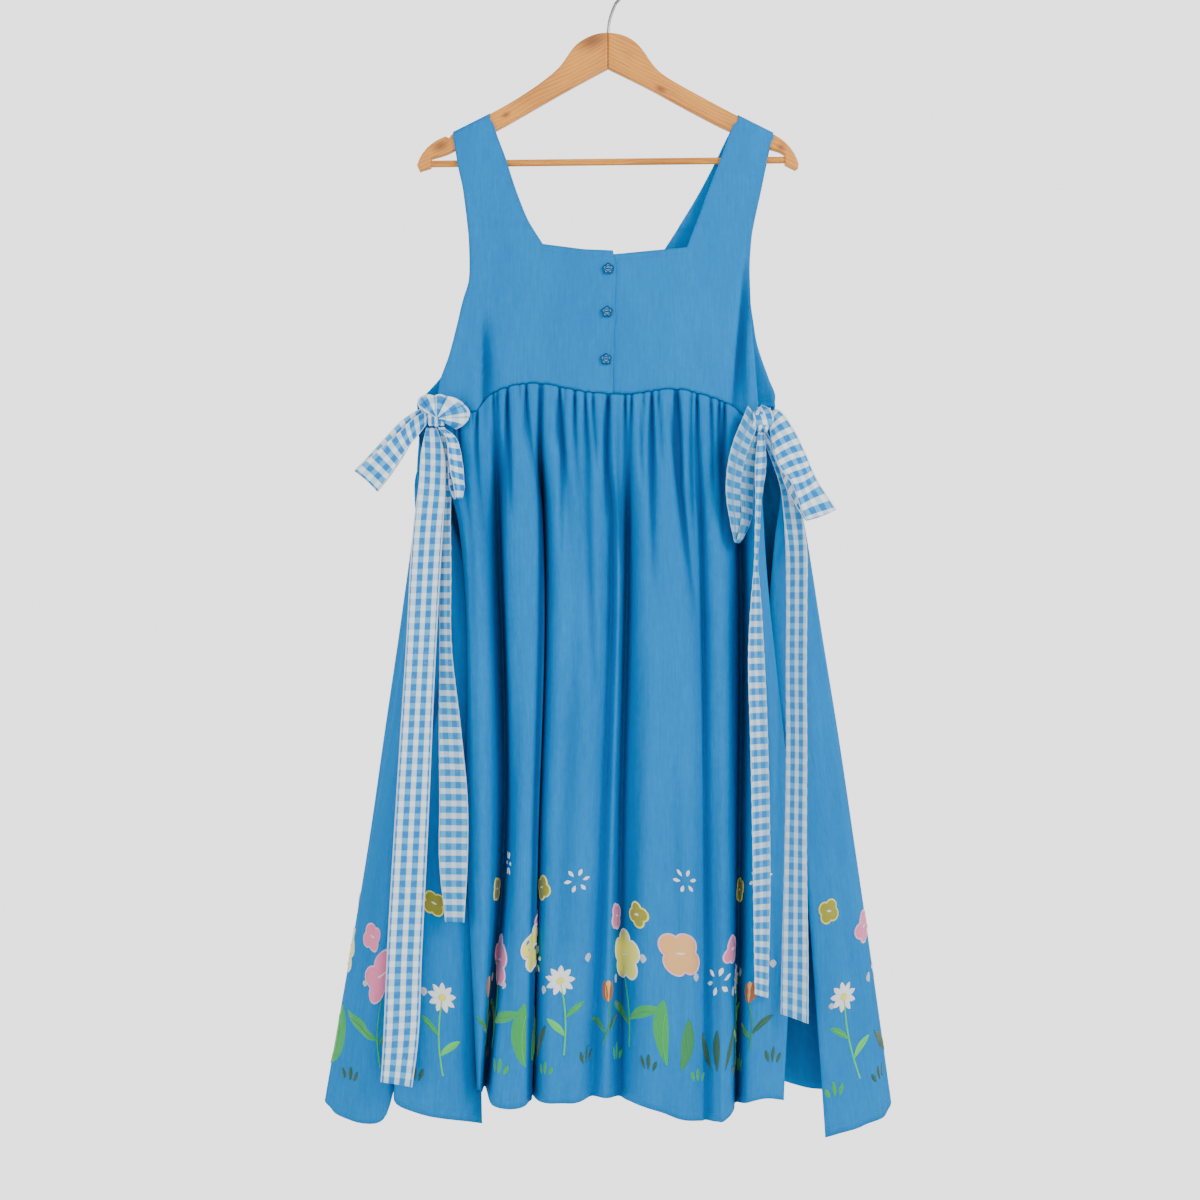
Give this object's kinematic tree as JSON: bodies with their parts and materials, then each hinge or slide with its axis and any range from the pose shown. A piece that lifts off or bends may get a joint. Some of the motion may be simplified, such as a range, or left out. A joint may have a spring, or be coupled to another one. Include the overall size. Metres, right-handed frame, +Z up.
{
  "type": "apron dress on hanger",
  "caption": "Sleeveless apron dress with a buttoned yoke, gathered panel skirt and ribbon bows at its sides, hung on a wooden hanger with a wire hook.",
  "frame": {"origin": "inner top of the hanger's hook, where a rod carries it", "axes": "+X to the right of a viewer in front of the dress, +Y away from that viewer through the dress, +Z up"},
  "size_m": [0.6613, 0.1461, 1.3556],
  "materials": {
    "dress_cotton": "plain woven cotton, matt, turquoise blue",
    "gingham_cotton": "woven blue and white checked ribbon, matt",
    "hanger_wood": "honey-coloured wood, waxed, satin",
    "hook_steel": "plated steel wire",
    "button_plastic": "cloudy blue, glossy"
  },
  "bodies": {
    "root": {"front_bodice_left": "dress_cotton", "front_bodice_right": "dress_cotton", "back_bodice": "dress_cotton", "front_skirt": "dress_cotton", "back_skirt": "dress_cotton", "button_1": "button_plastic", "button_2": "button_plastic", "button_3": "button_plastic", "left_tail_long": "gingham_cotton", "left_tail_short": "gingham_cotton", "left_loop_large": "gingham_cotton", "left_loop_hanging": "gingham_cotton", "left_knot": "gingham_cotton", "left_tie_front": "gingham_cotton", "left_tie_back": "gingham_cotton", "right_tail_long": "gingham_cotton", "right_tail_short": "gingham_cotton", "right_loop_large": "gingham_cotton", "right_loop_hanging": "gingham_cotton", "right_knot": "gingham_cotton", "right_tie_front": "gingham_cotton", "right_tie_back": "gingham_cotton", "hanger_arm_left": "hanger_wood", "hanger_arm_right": "hanger_wood", "hanger_bar": "hanger_wood", "hanger_hook": "hook_steel"}
  },
  "joints": []
}
